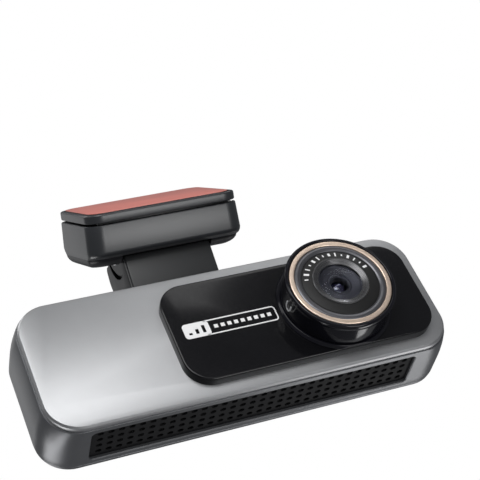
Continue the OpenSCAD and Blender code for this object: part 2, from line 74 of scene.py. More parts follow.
# the camera's own frame: the centre of the front plate's face
CENTRE = Vector(((PLATE_LO.x + PLATE_HI.x) / 2, PLATE_LO.y, (PLATE_LO.z + PLATE_HI.z) / 2))
PLATE_W = PLATE_HI.x - PLATE_LO.x
PLATE_H = PLATE_HI.z - PLATE_LO.z
PLATE_T = PLATE_HI.y - PLATE_LO.y
CORNER_R = 8.0
FASCIA_PROUD = CENTRE.y - FASCIA_LO.y
SHELL_END = SHELL_HI.y - CENTRE.y
BACK = COVER_HI.y - CENTRE.y
LENS = Vector(((RING_LO.x + RING_HI.x) / 2, CENTRE.y, (RING_LO.z + RING_HI.z) / 2))
DRUM_R = 12.85
DRUM_HOLE_R = DRUM_R + 0.1
HINGE = Vector(JOINTS["tilt"]["pos_m"]) / MM
PAD_AXIS = Vector(MOUNTS["adhesive_pad"]["axis"])
GLASS_SLOPE = math.atan2(-PAD_AXIS.y, PAD_AXIS.z)

# placements: a piece is built in millimetres in its own frame, then set in place
CAM = Matrix.Translation(CENTRE)
# the lens frame has +Z out of the lens, and Z = 0 on the front plate's face
OUT = Matrix.Translation(LENS) @ Matrix.Rotation(math.radians(90), 4, "X")
GLASS = Matrix.Rotation(GLASS_SLOPE, 4, "X")
TO_METRES = Matrix.Scale(MM, 4)

# ---------------------------------------------------------------- mesh helpers


def make(name, verts, faces, place):
    """A mesh object from points in millimetres, set in place in metres."""
    mesh = bpy.data.meshes.new(name)
    mesh.from_pydata([TO_METRES @ place @ Vector(v) for v in verts], [], faces)
    bm = bmesh.new()
    bm.from_mesh(mesh)
    bmesh.ops.remove_doubles(bm, verts=bm.verts, dist=1e-7)
    bmesh.ops.recalc_face_normals(bm, faces=bm.faces)
    bm.to_mesh(mesh)
    bm.free()
    piece = bpy.data.objects.new(name, mesh)
    bpy.context.scene.collection.objects.link(piece)
    return piece


def smooth(piece, angle=32):
    """Smooth shading with sharp edges kept where faces meet at more than angle degrees."""
    for face in piece.data.polygons:
        face.use_smooth = True
    piece.data.set_sharp_from_angle(angle=math.radians(angle))
    return piece


def bake_modifiers(piece):
    """Applies the piece's modifiers to its mesh."""
    graph = bpy.context.evaluated_depsgraph_get()
    done = bpy.data.meshes.new_from_object(piece.evaluated_get(graph))
    piece.modifiers.clear()
    piece.data = done
    return piece


def cut(piece, *cutters):
    """Takes the cutters out of the piece, and removes them."""
    for cutter in cutters:
        hole = piece.modifiers.new("cut", "BOOLEAN")
        hole.operation = "DIFFERENCE"
        hole.solver = "EXACT"
        hole.object = cutter
        bpy.context.view_layer.update()
        bake_modifiers(piece)
        bpy.data.objects.remove(cutter)
    return piece


def join(name, parts):
    """One object from several that share a material."""
    bm = bmesh.new()
    for part in parts:
        bm.from_mesh(part.data)
        bpy.data.objects.remove(part)
    mesh = bpy.data.meshes.new(name)
    bm.to_mesh(mesh)
    bm.free()
    piece = bpy.data.objects.new(name, mesh)
    bpy.context.scene.collection.objects.link(piece)
    return piece


def bevel(piece, width, segments=3, angle=35):
    """Rounds the sharp edges of a piece by width millimetres."""
    mod = piece.modifiers.new("edges", "BEVEL")
    mod.width = width * MM
    mod.segments = segments
    mod.limit_method = "ANGLE"
    mod.angle_limit = math.radians(angle)
    mod.harden_normals = False
    return bake_modifiers(piece)


def rounded(w, h, r, steps=10):
    """A rounded rectangle's outline, as (x, y) points about its centre."""
    r = max(r, 0.02)
    points = []
    for cx, cy, start in ((1, 1, 0), (-1, 1, 90), (-1, -1, 180), (1, -1, 270)):
        for i in range(steps + 1):
            a = math.radians(start + 90 * i / steps)
            points.append((cx * (w / 2 - r) + r * math.cos(a), cy * (h / 2 - r) + r * math.sin(a)))
    return points


def circle(u, v, r, count):
    """Points of a circle about (u, v)."""
    turns = (2 * math.pi * i / count for i in range(count))
    return [(u + r * math.cos(a), v + r * math.sin(a)) for a in turns]


def loft(name, rings, place):
    """Skins rings of equal length (lists of 3-D points) and caps both ends."""
    n = len(rings[0])
    verts = [p for ring in rings for p in ring]
    faces = []
    for k in range(len(rings) - 1):
        for i in range(n):
            j = (i + 1) % n
            faces.append((k * n + i, k * n + j, (k + 1) * n + j, (k + 1) * n + i))
    faces.append(tuple(range(n)))
    faces.append(tuple((len(rings) - 1) * n + i for i in range(n)))
    return make(name, verts, faces, place)


def plate_rings(w, h, r, stations, steps=10):
    """Rings for a plate that faces -Y: stations are (y, inset from the full outline)."""
    return [[(x, y, z) for x, z in rounded(w - 2 * inset, h - 2 * inset, r - inset, steps)]
            for y, inset in stations]


def slab_rings(w, d, r, stations, steps=10):
    """Rings for a slab that faces +Z: stations are (z, inset from the full outline)."""
    return [[(x, y, z) for x, y in rounded(w - 2 * inset, d - 2 * inset, r - inset, steps)]
            for z, inset in stations]


def fillet(points, radius, steps=4):
    """A closed outline with each corner rounded by up to radius."""
    made = []
    count = len(points)
    for i in range(count):
        p = Vector(points[i])
        a = Vector(points[i - 1]) - p
        b = Vector(points[(i + 1) % count]) - p
        reach = min(radius[i] if isinstance(radius, (list, tuple)) else radius,
                    a.length * 0.45, b.length * 0.45)
        if reach < 1e-4:
            made.append(tuple(p))
            continue
        p0 = p + a.normalized() * reach
        p1 = p + b.normalized() * reach
        for k in range(steps + 1):
            t = k / steps
            q = p0 * (1 - t) ** 2 + p * 2 * t * (1 - t) + p1 * t * t
            made.append(tuple(q))
    return made


def lathe(name, profile, place=OUT, segments=160, round_r=0.12, steps=3):
    """A solid of revolution from a closed profile of (radius, height) points."""
    outline = fillet(profile, round_r, steps) if round_r else profile
    n = len(outline)
    verts, faces = [], []
    for s in range(segments):
        a = 2 * math.pi * s / segments
        for r, h in outline:
            verts.append((r * math.cos(a), r * math.sin(a), h))
    for s in range(segments):
        t = (s + 1) % segments
        for i in range(n):
            j = (i + 1) % n
            faces.append((s * n + i, s * n + j, t * n + j, t * n + i))
    return smooth(make(name, verts, faces, place), 40)


def dome(name, points, place=OUT, segments=96):
    """A solid of revolution that meets its axis: points run from the axis out and back to it."""
    verts, faces = [], []
    inner = points[1:-1]
    n = len(inner)
    verts.append((0, 0, points[0][1]))
    verts.append((0, 0, points[-1][1]))
    for s in range(segments):
        a = 2 * math.pi * s / segments
        for r, h in inner:
            verts.append((r * math.cos(a), r * math.sin(a), h))
    for s in range(segments):
        t = (s + 1) % segments
        u, v = 2 + s * n, 2 + t * n
        faces.append((0, u, v))
        for i in range(n - 1):
            faces.append((u + i, u + i + 1, v + i + 1, v + i))
        faces.append((u + n - 1, 1, v + n - 1))
    return smooth(make(name, verts, faces, place), 40)


def prism_x(name, outline, x0, x1, place, edge=0.25, segments=3):
    """A (y, z) outline extruded along X with rounded rims."""
    n = len(outline)
    verts = [(x0, y, z) for y, z in outline] + [(x1, y, z) for y, z in outline]
    faces = [tuple(range(n)), tuple(n + i for i in range(n))]
    faces += [(i, (i + 1) % n, n + (i + 1) % n, n + i) for i in range(n)]
    piece = make(name, verts, faces, place)
    if edge:
        bevel(piece, edge, segments, 50)
    return smooth(piece, 40)


def block(name, lo, hi, place, edge=0.15, segments=2):
    """A box between two corners with rounded edges."""
    (x0, y0, z0), (x1, y1, z1) = lo, hi
    verts = [(x, y, z) for x in (x0, x1) for y in (y0, y1) for z in (z0, z1)]
    faces = [(0, 1, 3, 2), (4, 6, 7, 5), (0, 4, 5, 1), (2, 3, 7, 6), (0, 2, 6, 4), (1, 5, 7, 3)]
    piece = make(name, verts, faces, place)
    if edge:
        bevel(piece, edge, segments, 30)
    return smooth(piece, 40)


def rod_cutter(r, y0, y1, x, z, segments=64):
    """A cylinder along Y, for cutting."""
    ring = circle(x, z, r, segments)
    return loft("cutter", [[(u, y, w) for u, w in ring] for y in (y0, y1)], CAM)


def side_cutter(outline, x0, x1, place=Matrix()):
    """A (y, z) outline extruded along X, for cutting."""
    return loft("cutter", [[(x, y, z) for y, z in outline] for x in (x0, x1)], place)


def box_cutter(lo, hi, place=CAM):
    """A sharp box between two corners, for cutting."""
    return block("cutter", lo, hi, place, edge=0)


def dress(piece, material, body, slot_name, *nodes):
    """Material, body and replaced nodes of a finished piece; slot_name is not used."""
    piece.data.materials.clear()
    piece.data.materials.append(material)
    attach(piece, body)
    if nodes:
        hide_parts(*nodes)
    return piece


# ---------------------------------------------------------------- materials

NOISE_ROUGHNESS = 0.55

def shader(name):
    """A new node material: its nodes, its links and its principled shader."""
    material = bpy.data.materials.new(name)
    material.use_nodes = True
    nodes = material.node_tree.nodes
    return material, nodes, material.node_tree.links, nodes["Principled BSDF"]


def coordinates(nodes, links, scale=(1, 1, 1), origin=(0, 0, 0)):
    """Object coordinates in millimetres, stretched by scale about origin."""
    source = nodes.new("ShaderNodeTexCoord")
    mapping = nodes.new("ShaderNodeMapping")
    mapping.vector_type = "TEXTURE"
    mapping.inputs["Location"].default_value = [o * MM for o in origin]
    mapping.inputs["Scale"].default_value = [MM / s for s in scale]
    links.new(source.outputs["Object"], mapping.inputs["Vector"])
    return mapping.outputs["Vector"]


def lens_distance(nodes, links, where):
    """Distance from the lens axis, of coordinates about the lens."""
    flat = nodes.new("ShaderNodeVectorMath")
    flat.operation = "MULTIPLY"
    flat.inputs[1].default_value = (1, 0, 1)
    links.new(where, flat.inputs[0])
    length = nodes.new("ShaderNodeVectorMath")
    length.operation = "LENGTH"
    links.new(flat.outputs["Vector"], length.inputs[0])
    return length.outputs["Value"]


def noise(nodes, links, vector, scale, detail):
    """Soft noise, from 0 to 1."""
    made = nodes.new("ShaderNodeTexNoise")
    made.inputs["Scale"].default_value = scale
    made.inputs["Detail"].default_value = detail
    made.inputs["Roughness"].default_value = NOISE_ROUGHNESS
    links.new(vector, made.inputs["Vector"])
    return made.outputs["Fac"]


def spread(nodes, links, value, low, high, from_low=0.3, from_high=0.7):
    """Maps a noise value onto a range."""
    made = nodes.new("ShaderNodeMapRange")
    made.inputs["From Min"].default_value = from_low
    made.inputs["From Max"].default_value = from_high
    made.inputs["To Min"].default_value = low
    made.inputs["To Max"].default_value = high
    links.new(value, made.inputs["Value"])
    return made.outputs["Result"]


def ramp(nodes, links, value, *stops):
    """A colour ramp from (position, colour) stops."""
    made = nodes.new("ShaderNodeValToRGB")
    band = made.color_ramp
    while len(band.elements) < len(stops):
        band.elements.new(0.5)
    for element, (at, colour) in zip(band.elements, stops):
        element.position = at
        element.color = (*colour, 1)
    links.new(value, made.inputs["Fac"])
    return made.outputs["Color"]


def bump(nodes, links, principled, height, strength, distance=0.02):
    """Raises the surface by a height value; distance is in millimetres."""
    made = nodes.new("ShaderNodeBump")
    made.inputs["Strength"].default_value = strength
    made.inputs["Distance"].default_value = distance * MM
    links.new(height, made.inputs["Height"])
    links.new(made.outputs["Normal"], principled.inputs["Normal"])


def scaled(colour, k):
    """A colour made lighter or darker."""
    return tuple(min(1.0, c * k) for c in colour)


def plastic(name, colour, rough=0.45, grain=3.0, depth=0.25, vary=0.12, coat=0.0, metallic=0.0,
            specular=0.5):
    """Moulded plastic or paint: fine grain in the surface and slight variation in tone."""
    material, nodes, links, principled = shader(name)
    where = coordinates(nodes, links)
    fine = noise(nodes, links, where, grain, 4)
    broad = noise(nodes, links, where, 0.12, 2)
    tone = ramp(nodes, links, broad, (0.3, scaled(colour, 1 - vary)), (0.7, scaled(colour, 1 + vary)))
    links.new(tone, principled.inputs["Base Color"])
    links.new(spread(nodes, links, fine, rough - 0.05, rough + 0.05), principled.inputs["Roughness"])
    principled.inputs["Metallic"].default_value = metallic
    principled.inputs["Specular IOR Level"].default_value = specular
    principled.inputs["Coat Weight"].default_value = coat
    principled.inputs["Coat Roughness"].default_value = 0.06
    bump(nodes, links, principled, fine, depth)
    return material


def turned_metal(name, colour, rough, pitch=9.0, metallic=1.0):
    """Metal turned on a lathe: fine rings about the lens axis."""
    material, nodes, links, principled = shader(name)
    where = coordinates(nodes, links, origin=LENS)
    spun = nodes.new("ShaderNodeCombineXYZ")
    links.new(lens_distance(nodes, links, where), spun.inputs["X"])
    rings = noise(nodes, links, spun.outputs["Vector"], pitch, 3)
    patch = noise(nodes, links, where, 0.5, 2)
    tone = ramp(nodes, links, patch, (0.3, scaled(colour, 0.92)), (0.7, scaled(colour, 1.06)))
    links.new(tone, principled.inputs["Base Color"])
    links.new(spread(nodes, links, rings, rough - 0.06, rough + 0.08), principled.inputs["Roughness"])
    principled.inputs["Metallic"].default_value = metallic
    bump(nodes, links, principled, rings, 0.15)
    return material


def glass_material(name, colour, ior, rough=0.0):
    """Clear glass with faint polishing marks."""
    material, nodes, links, principled = shader(name)
    where = coordinates(nodes, links)
    marks = noise(nodes, links, where, 0.7, 2)
    principled.inputs["Base Color"].default_value = (*colour, 1)
    principled.inputs["Transmission Weight"].default_value = 1.0
    principled.inputs["IOR"].default_value = ior
    links.new(spread(nodes, links, marks, rough, rough + 0.015), principled.inputs["Roughness"])
    return material


def woven(name, colour, threads=5.0):
    """A fine woven mesh, painted darker in the dips between threads and lighter on the crowns: painted shade and
    painted highlight.
    """
    material, nodes, links, principled = shader(name)
    where = coordinates(nodes, links)
    height = None
    for axis in ("X", "Y"):
        wave = nodes.new("ShaderNodeTexWave")
        wave.bands_direction = axis
        wave.inputs["Scale"].default_value = threads
        wave.inputs["Distortion"].default_value = 0.3
        links.new(where, wave.inputs["Vector"])
        if height is None:
            height = wave.outputs["Fac"]
        else:
            both = nodes.new("ShaderNodeMath")
            both.operation = "MULTIPLY"
            links.new(height, both.inputs[0])
            links.new(wave.outputs["Fac"], both.inputs[1])
            height = both.outputs["Value"]
    # painted shade in the weave's dips and painted highlight on the thread crowns
    tone = ramp(nodes, links, height, (0.0, scaled(colour, 0.4)), (1.0, scaled(colour, 1.6)))
    links.new(tone, principled.inputs["Base Color"])
    principled.inputs["Roughness"].default_value = 0.8
    bump(nodes, links, principled, height, 0.8, 0.1)
    return material


def circuit(name, colour, copper):
    """Solder mask with raised tracks and small pads."""
    material, nodes, links, principled = shader(name)
    where = coordinates(nodes, links)
    cells = nodes.new("ShaderNodeTexVoronoi")
    cells.distance = "CHEBYCHEV"
    cells.feature = "F1"
    cells.inputs["Scale"].default_value = 0.9
    links.new(where, cells.inputs["Vector"])
    tracks = nodes.new("ShaderNodeTexWave")
    tracks.bands_direction = "DIAGONAL"
    tracks.inputs["Scale"].default_value = 0.35
    tracks.inputs["Distortion"].default_value = 6
    links.new(where, tracks.inputs["Vector"])
    pads = ramp(nodes, links, cells.outputs["Distance"], (0.10, copper), (0.14, colour))
    lines = ramp(nodes, links, tracks.outputs["Fac"], (0.45, colour),
                 (0.55, scaled(colour, 1.7)))
    mix = nodes.new("ShaderNodeMix")
    mix.data_type = "RGBA"
    mix.inputs["Factor"].default_value = 0.5
    links.new(pads, mix.inputs["A"])
    links.new(lines, mix.inputs["B"])
    links.new(mix.outputs["Result"], principled.inputs["Base Color"])
    principled.inputs["Roughness"].default_value = 0.35
    bump(nodes, links, principled, tracks.outputs["Fac"], 0.3)
    return material


SILVER = plastic("silver_paint", (0.37, 0.374, 0.382), rough=0.42, grain=6, depth=0.10, vary=0.02,
                 metallic=0.85)
GUNMETAL = plastic("gunmetal_plastic", (0.125, 0.128, 0.135), rough=0.34, grain=7, depth=0.2,
                   vary=0.05, metallic=0.5)
GLOSS_BLACK = plastic("gloss_black", (0.005, 0.005, 0.006), rough=0.16, grain=2, depth=0.01,
                      vary=0.1, coat=0.05, specular=0.3)
DRUM_BLACK = plastic("drum_black", (0.007, 0.007, 0.010), rough=0.12, grain=5, depth=0.02, vary=0.1,
                     specular=0.25)
MATT_BLACK = plastic("matt_black", (0.016, 0.016, 0.017), rough=0.5, grain=7, depth=0.2, vary=0.1)
DIAL_BLACK = plastic("dial_black", (0.010, 0.010, 0.010), rough=0.45, grain=8, depth=0.15, vary=0.1,
                     specular=0.3)
BAFFLE = plastic("baffle_black", (0.022, 0.022, 0.025), rough=0.42, grain=8, depth=0.12, vary=0.1,
                 specular=0.4)
GRILLE_BLACK = plastic("grille_black", (0.008, 0.008, 0.009), rough=0.6, grain=9, depth=0.3,
                       vary=0.1, specular=0.12)
MOUNT = plastic("mount_plastic", (0.022, 0.024, 0.027), rough=0.33, grain=7, depth=0.15, vary=0.06,
                specular=0.7)
# the block's own plastic painted darker: painted shade for the belly, which faces down
BELLY_PAINTED_SHADE = plastic("belly_painted_shade", (0.014, 0.014, 0.016), rough=0.4, grain=7, depth=0.2, vary=0.1,
                      specular=0.3)
NECK = plastic("neck_plastic", (0.004, 0.004, 0.005), rough=0.45, grain=7, depth=0.25, vary=0.08)
NECK_FRONT = plastic("neck_front", (0.018, 0.019, 0.020), rough=0.40, grain=7, depth=0.2, vary=0.08)
LINER = plastic("release_film", (0.70, 0.235, 0.195), rough=0.34, grain=1.5, depth=0.06, vary=0.05,
                coat=0.1)
FOAM = plastic("foam", (0.02, 0.02, 0.02), rough=0.85, grain=4, depth=0.8, vary=0.2)
CHAMPAGNE = turned_metal("champagne", (0.92, 0.74, 0.60), rough=0.34)
BEVEL_GREY = turned_metal("bevel_grey", (0.13, 0.13, 0.14), rough=0.30, metallic=0.8)
INNER_GREY = turned_metal("inner_grey", (0.11, 0.11, 0.113), rough=0.26, metallic=0.8, pitch=14)
WHITE_INK = plastic("white_ink", (0.86, 0.86, 0.86), rough=0.5, grain=9, depth=0.1, vary=0.03)
MARK_GREY = plastic("mark_grey", (0.62, 0.62, 0.63), rough=0.35, grain=9, depth=0.1, vary=0.05)
LENS_GLASS = glass_material("lens_glass", (0.90, 0.92, 1.0), ior=1.08)
STEEL = turned_metal("steel", (0.55, 0.55, 0.56), rough=0.3)
GOLD_PLATE = plastic("gold_plate", (0.75, 0.52, 0.2), rough=0.25, grain=4, depth=0.05, metallic=1.0)
BOARD = circuit("circuit_board", (0.012, 0.11, 0.045), (0.5, 0.3, 0.12))
CHIP = plastic("chip_epoxy", (0.02, 0.02, 0.021), rough=0.55, grain=8, depth=0.3)
ALUMINIUM = plastic("aluminium", (0.60, 0.60, 0.61), rough=0.35, grain=5, depth=0.2, metallic=1.0)
THERMAL = plastic("thermal_pad", (0.25, 0.38, 0.5), rough=0.8, grain=5, depth=0.5)
SLEEVE = plastic("capacitor_sleeve", (0.03, 0.06, 0.18), rough=0.25, grain=1, depth=0.1, coat=0.3)
MESH_CLOTH = woven("dust_mesh", (0.02, 0.02, 0.02))
CERAMIC = plastic("ceramic", (0.5, 0.38, 0.25), rough=0.4, grain=4, depth=0.2)
CLEAR = glass_material("clear_light", (0.8, 0.92, 0.95), rough=0.1, ior=1.45)
BUTTON = plastic("button_grey", (0.16, 0.165, 0.17), rough=0.4, grain=7, depth=0.2)

# ---------------------------------------------------------------- camera body

JACK_HOLE_R = 2.9
KEY_HOLE_R = 2.9
SCREW_R = 1.7
PAST_BACK = 30


def front_plate():
    """Satin silver plate with a small chamfer round its face."""
    stations = [(PLATE_T, 0.0), (0.62, 0.0), (0.5, 0.02), (0.16, 0.3), (0.05, 0.4), (0.0, 0.55)]
    piece = loft("silver_plate", plate_rings(PLATE_W, PLATE_H, CORNER_R, stations, 14), CAM)
    cut(piece, rod_cutter(DRUM_HOLE_R, -5, 5, LENS.x - CENTRE.x, LENS.z - CENTRE.z))
    return dress(smooth(piece, 25), SILVER, "camera", "silver_plate", "front_plate")


def fascia():
    """Glossy black fascia, proud of the plate, with a thin rounded rim."""
    w, h = FASCIA_HI.x - FASCIA_LO.x, FASCIA_HI.z - FASCIA_LO.z
    place = Matrix.Translation(((FASCIA_LO.x + FASCIA_HI.x) / 2, CENTRE.y,
                                (FASCIA_LO.z + FASCIA_HI.z) / 2))
    rim = 0.4
    stations = [(0, 0.0), (-FASCIA_PROUD + rim, 0.0)]
    for i in range(1, 6):
        a = math.radians(18 * i)
        stations.append((-FASCIA_PROUD + rim * (1 - math.sin(a)), rim * (1 - math.cos(a))))
    piece = loft("fascia_gloss", plate_rings(w, h, 6.5, stations, 14), place)
    cut(piece, rod_cutter(DRUM_HOLE_R, -5, 5, LENS.x - CENTRE.x, LENS.z - CENTRE.z))
    return dress(smooth(piece, 25), GLOSS_BLACK, "camera", "gloss_black", "fascia")


def badge():
    """Printed outline with one filled end and rows of plain bars, and no wording."""
    lo, hi = box_mm("badge")
    w, h = hi.x - lo.x, hi.z - lo.z
    place = Matrix.Translation(((lo.x + hi.x) / 2, FASCIA_LO.y, (lo.z + hi.z) / 2))
    thick = 0.1
    outline = loft("outline", plate_rings(w, h, 0.9, [(0, 0), (-thick, 0)], 6), place)
    cut(outline, loft("cutter", plate_rings(w - 0.6, h - 0.6, 0.65, [(1, 0), (-1, 0)], 6), place))
    tab_w = 6.4
    tab_place = place @ Matrix.Translation((-w / 2 + tab_w / 2, 0, 0))
    tab = loft("tab", plate_rings(tab_w, h - 0.05, 0.9, [(0, 0), (-thick, 0)], 6), tab_place)
    cut(outline, box_cutter((-w / 2 - 1, -2, -h), (-w / 2 + tab_w - 1, 2, h), place))
    for i in range(3):
        x = -1.7 + 1.7 * i
        cut(tab, box_cutter((x - 0.4, -1, -1.1), (x + 0.4, 1, -0.5 + 0.75 * i), tab_place))
    bars = []
    for i in range(9):
        x = -w / 2 + tab_w + 1.1 + 1.68 * i
        bars.append(block("bar", (x, -thick, -0.5), (x + 1.0, 0, 0.5), place, 0.04, 1))
    piece = join("badge_print", [outline, tab, *bars])
    return dress(smooth(piece), WHITE_INK, "camera", "label_white", "badge")


def shell_width(y):
    """Half-breadth gain of the shell at depth y: it swells from the plate to mid-depth."""
    t = min(max((y - PLATE_T) / 8.0, 0.0), 1.0)
    return 0.3 + (SHELL_HI.x - SHELL_LO.x - PLATE_W - 0.6) / 2 * (1 - (1 - t) ** 2)


def shell_ring(y, inset=0.0, steps=14):
    grow = shell_width(y)
    outline = rounded(PLATE_W + 2 * grow - 2 * inset, SHELL_HI.z - SHELL_LO.z - 2 * inset,
                      CORNER_R - inset, steps)
    return [(x, y, z) for x, z in outline]


def shell():
    """Gunmetal tray with swelling ends, the grille opening and the end sockets' openings."""
    ys = [PLATE_T, PLATE_T + 0.12]
    insets = [0.14, 0.02]
    count = 9
    for i in range(count):
        ys.append(PLATE_T + 0.3 + (SHELL_END - 0.5 - PLATE_T) * i / (count - 1))
        insets.append(0.0)
    ys += [SHELL_END - 0.08, SHELL_END]
    insets += [0.03, 0.16]
    piece = loft("shell_body", [shell_ring(y, i) for y, i in zip(ys, insets)], CAM)
    wall = 1.5
    cavity = plate_rings(PLATE_W - 2 * wall, PLATE_H - 2 * wall, CORNER_R - wall,
                         [(-2, 0), (BACK + 2, 0)], 14)
    cut(piece, loft("cutter", cavity, CAM))
    # grille opening with a small lip
    w, d = GRILLE_HI.x - GRILLE_LO.x, GRILLE_HI.y - GRILLE_LO.y
    under = SHELL_LO.z
    mid = Matrix.Translation(((GRILLE_LO.x + GRILLE_HI.x) / 2, (GRILLE_LO.y + GRILLE_HI.y) / 2, 0))
    lip = 0.22
    stations = [(under - 1, -lip - 0.3), (under - 0.001, -lip), (under + lip, 0), (under + 4, 0)]
    cut(piece, loft("cutter", slab_rings(w, d, 1.2, stations, 8), mid))
    cut(piece, *socket_cutters())
    return dress(smooth(piece, 28), GUNMETAL, "camera", "gunmetal", "shell")


def socket_cutters():
    """The openings of the jack, the power socket and the card slot in the right end."""
    made = []
    x0, x1 = PLATE_HI.x - 4, SHELL_HI.x + 3
    jack_lo, jack_hi = box_mm("jack_socket")
    cy, cz = (jack_lo.y + jack_hi.y) / 2, (jack_lo.z + jack_hi.z) / 2
    made.append(side_cutter(circle(cy, cz, JACK_HOLE_R, 48), x0, x1))
    for node, spare, round_r in (("usb_socket", 0.25, 1.6), ("memory_card", 0.35, 0.5)):
        lo, hi = box_mm(node)
        outline = rounded(hi.y - lo.y + 2 * spare, hi.z - lo.z + 2 * spare, round_r, 6)
        cy, cz = (lo.y + hi.y) / 2, (lo.z + hi.z) / 2
        made.append(side_cutter([(cy + y, cz + z) for y, z in outline], x0, x1))
    return made


def rear_cover():
    """Back of the body with a rounded rim and holes for the controls and screws."""
    depth = BACK - SHELL_END
    full_w, full_h = COVER_HI.x - COVER_LO.x, COVER_HI.z - COVER_LO.z
    stations = [(SHELL_END, 0.16), (SHELL_END + 0.1, 0.03), (SHELL_END + 0.3, 0.0)]
    for i in range(1, 9):
        a = math.radians(11.25 * i)
        stations.append((SHELL_END + 0.3 + (depth - 0.3) * math.sin(a), 1.7 * (1 - math.cos(a))))
    piece = loft("back_cover", plate_rings(full_w, full_h, CORNER_R, stations, 14), CAM)
    for node in ("record_button", "event_button"):
        x, z = middle(node)
        cut(piece, rod_cutter(KEY_HOLE_R, 0, PAST_BACK, x, z),
            rod_cutter(KEY_HOLE_R + 0.5, BACK - 0.35, PAST_BACK, x, z))
    for x, z in screw_places():
        cut(piece, rod_cutter(SCREW_R + 0.1, BACK - 1.1, PAST_BACK, x, z, segments=40))
    light_x, z = middle("status_light")
    mic_x = middle("microphone")[0]
    cut(piece, rod_cutter(0.8, 0, PAST_BACK, light_x, z, segments=32),
        rod_cutter(0.5, 0, PAST_BACK, mic_x, z, segments=24))
    return dress(smooth(piece, 28), GUNMETAL, "camera", "gunmetal", "rear_cover")


def screw_places():
    """Centres of the four cover screws, in the camera's frame."""
    lo, hi = box_mm("cover_screws")
    xs = (lo.x + SCREW_R - CENTRE.x, hi.x - SCREW_R - CENTRE.x)
    zs = (lo.z + SCREW_R - CENTRE.z, hi.z - SCREW_R - CENTRE.z)
    return [(x, z) for x in xs for z in zs]


def cover_screws():
    """Small six-lobed screws, sunk in the cover."""
    parts = []
    for x, z in screw_places():
        spot = CAM @ Matrix.Translation((x, BACK, z)) @ Matrix.Rotation(math.radians(-90), 4, "X")
        head = dome("head", [(0, -0.35), (0.8, -0.36), (1.35, -0.45), (1.62, -0.62), (1.68, -0.8),
                             (1.66, -1.1), (1.0, -1.1), (1.0, -5.5), (0, -5.5)], spot, 40)
        for k in range(3):
            turn = spot @ Matrix.Rotation(math.radians(60 * k), 4, "Z")
            cut(head, block("cutter", (-0.9, -0.22, -0.75), (0.9, 0.22, 1), turn, edge=0))
        parts.append(head)
    piece = join("cover_screw_set", parts)
    return dress(smooth(piece, 30), STEEL, "camera", "steel", "cover_screws")


def grille_panel():
    """Recessed panel with rows of small oval holes, each one a real opening."""
    cols, rows = 32, 4
    w, d = GRILLE_HI.x - GRILLE_LO.x, GRILLE_HI.y - GRILLE_LO.y
    thick = 0.3
    pitch_x, pitch_y = (w - 2.2) / cols, (d - 1.4) / rows
    place = Matrix.Translation(((GRILLE_LO.x + GRILLE_HI.x) / 2, (GRILLE_LO.y + GRILLE_HI.y) / 2,
                                GRILLE_LO.z))
    parts = 20
    half_x, half_y = pitch_x / 2, pitch_y / 2
    lip = 0.1
    # (oval half length, oval half width, height) from the underside up through the hole
    levels = [(0.80, 0.66, 0), (0.73, 0.59, lip), (0.72, 0.58, thick)]
    verts, faces = [], []
    for i in range(cols):
        for j in range(rows):
            cx, cy = (i - (cols - 1) / 2) * pitch_x, (j - (rows - 1) / 2) * pitch_y
            base = len(verts)
            angles = [2 * math.pi * (k + 0.5) / parts for k in range(parts)]
            for a in angles:
                c, s = math.cos(a), math.sin(a)
                reach = min(half_x / max(abs(c), 1e-6), half_y / max(abs(s), 1e-6))
                verts.append((cx + reach * c, cy + reach * s, 0))
            for rx, ry, z in levels:
                verts += [(cx + rx * math.cos(a), cy + ry * math.sin(a), z) for a in angles]
            for level in range(len(levels)):
                for k in range(parts):
                    n = (k + 1) % parts
                    a0, b0 = base + level * parts, base + (level + 1) * parts
                    faces.append((a0 + k, a0 + n, b0 + n, b0 + k))
            # square corners of the cell
            for sx, sy in ((1, 1), (-1, 1), (-1, -1), (1, -1)):
                corner = len(verts)
                verts.append((cx + sx * half_x, cy + sy * half_y, 0))
                spot = Vector(verts[corner])
                near = sorted(range(parts), key=lambda k: (Vector(verts[base + k]) - spot).length)
                faces.append((base + near[0], corner, base + near[1]))
    field = make("field", verts, faces, place)
    bx, by = cols * half_x, rows * half_y
    border = []
    for x0, x1, y0, y1 in ((-w / 2, w / 2, -d / 2, -by), (-w / 2, w / 2, by, d / 2),
                           (-w / 2, -bx, -by, by), (bx, w / 2, -by, by)):
        border.append(block("edge", (x0, y0, 0), (x1, y1, thick), place, edge=0))
    piece = join("grille_sheet", [field, *border])
    return dress(smooth(piece, 30), GRILLE_BLACK, "camera", "matt_black", "grille_panel")


def rear_buttons():
    """Two dished round buttons."""
    for node, body in (("record_button", "record_key"), ("event_button", "event_key")):
        lo, hi = box_mm(node)
        spot = Matrix.Translation(((lo.x + hi.x) / 2, hi.y, (lo.z + hi.z) / 2))
        spot = spot @ Matrix.Rotation(math.radians(-90), 4, "X")
        deep = hi.y - lo.y
        piece = dome(node + "_cap", [(0, -0.28), (1.0, -0.24), (1.7, -0.1), (2.1, 0.0), (2.35, -0.05),
                                     (2.55, -0.2), (2.6, -0.45), (2.6, 0.4 - deep),
                                     (3.2, 0.35 - deep), (3.25, -deep), (0, -deep)], spot, 72)
        dress(piece, BUTTON, body, "button_grey", node)


# ---------------------------------------------------------------- lens drum


def radius(node):
    """Outer radius of a CAD node that is round about the lens axis."""
    lo, hi = box_mm(node)
    return (hi.x - lo.x) / 2


def reach(node):
    """Lowest and highest points of a CAD node above the front plate's face."""
    lo, hi = box_mm(node)
    return CENTRE.y - hi.y, CENTRE.y - lo.y


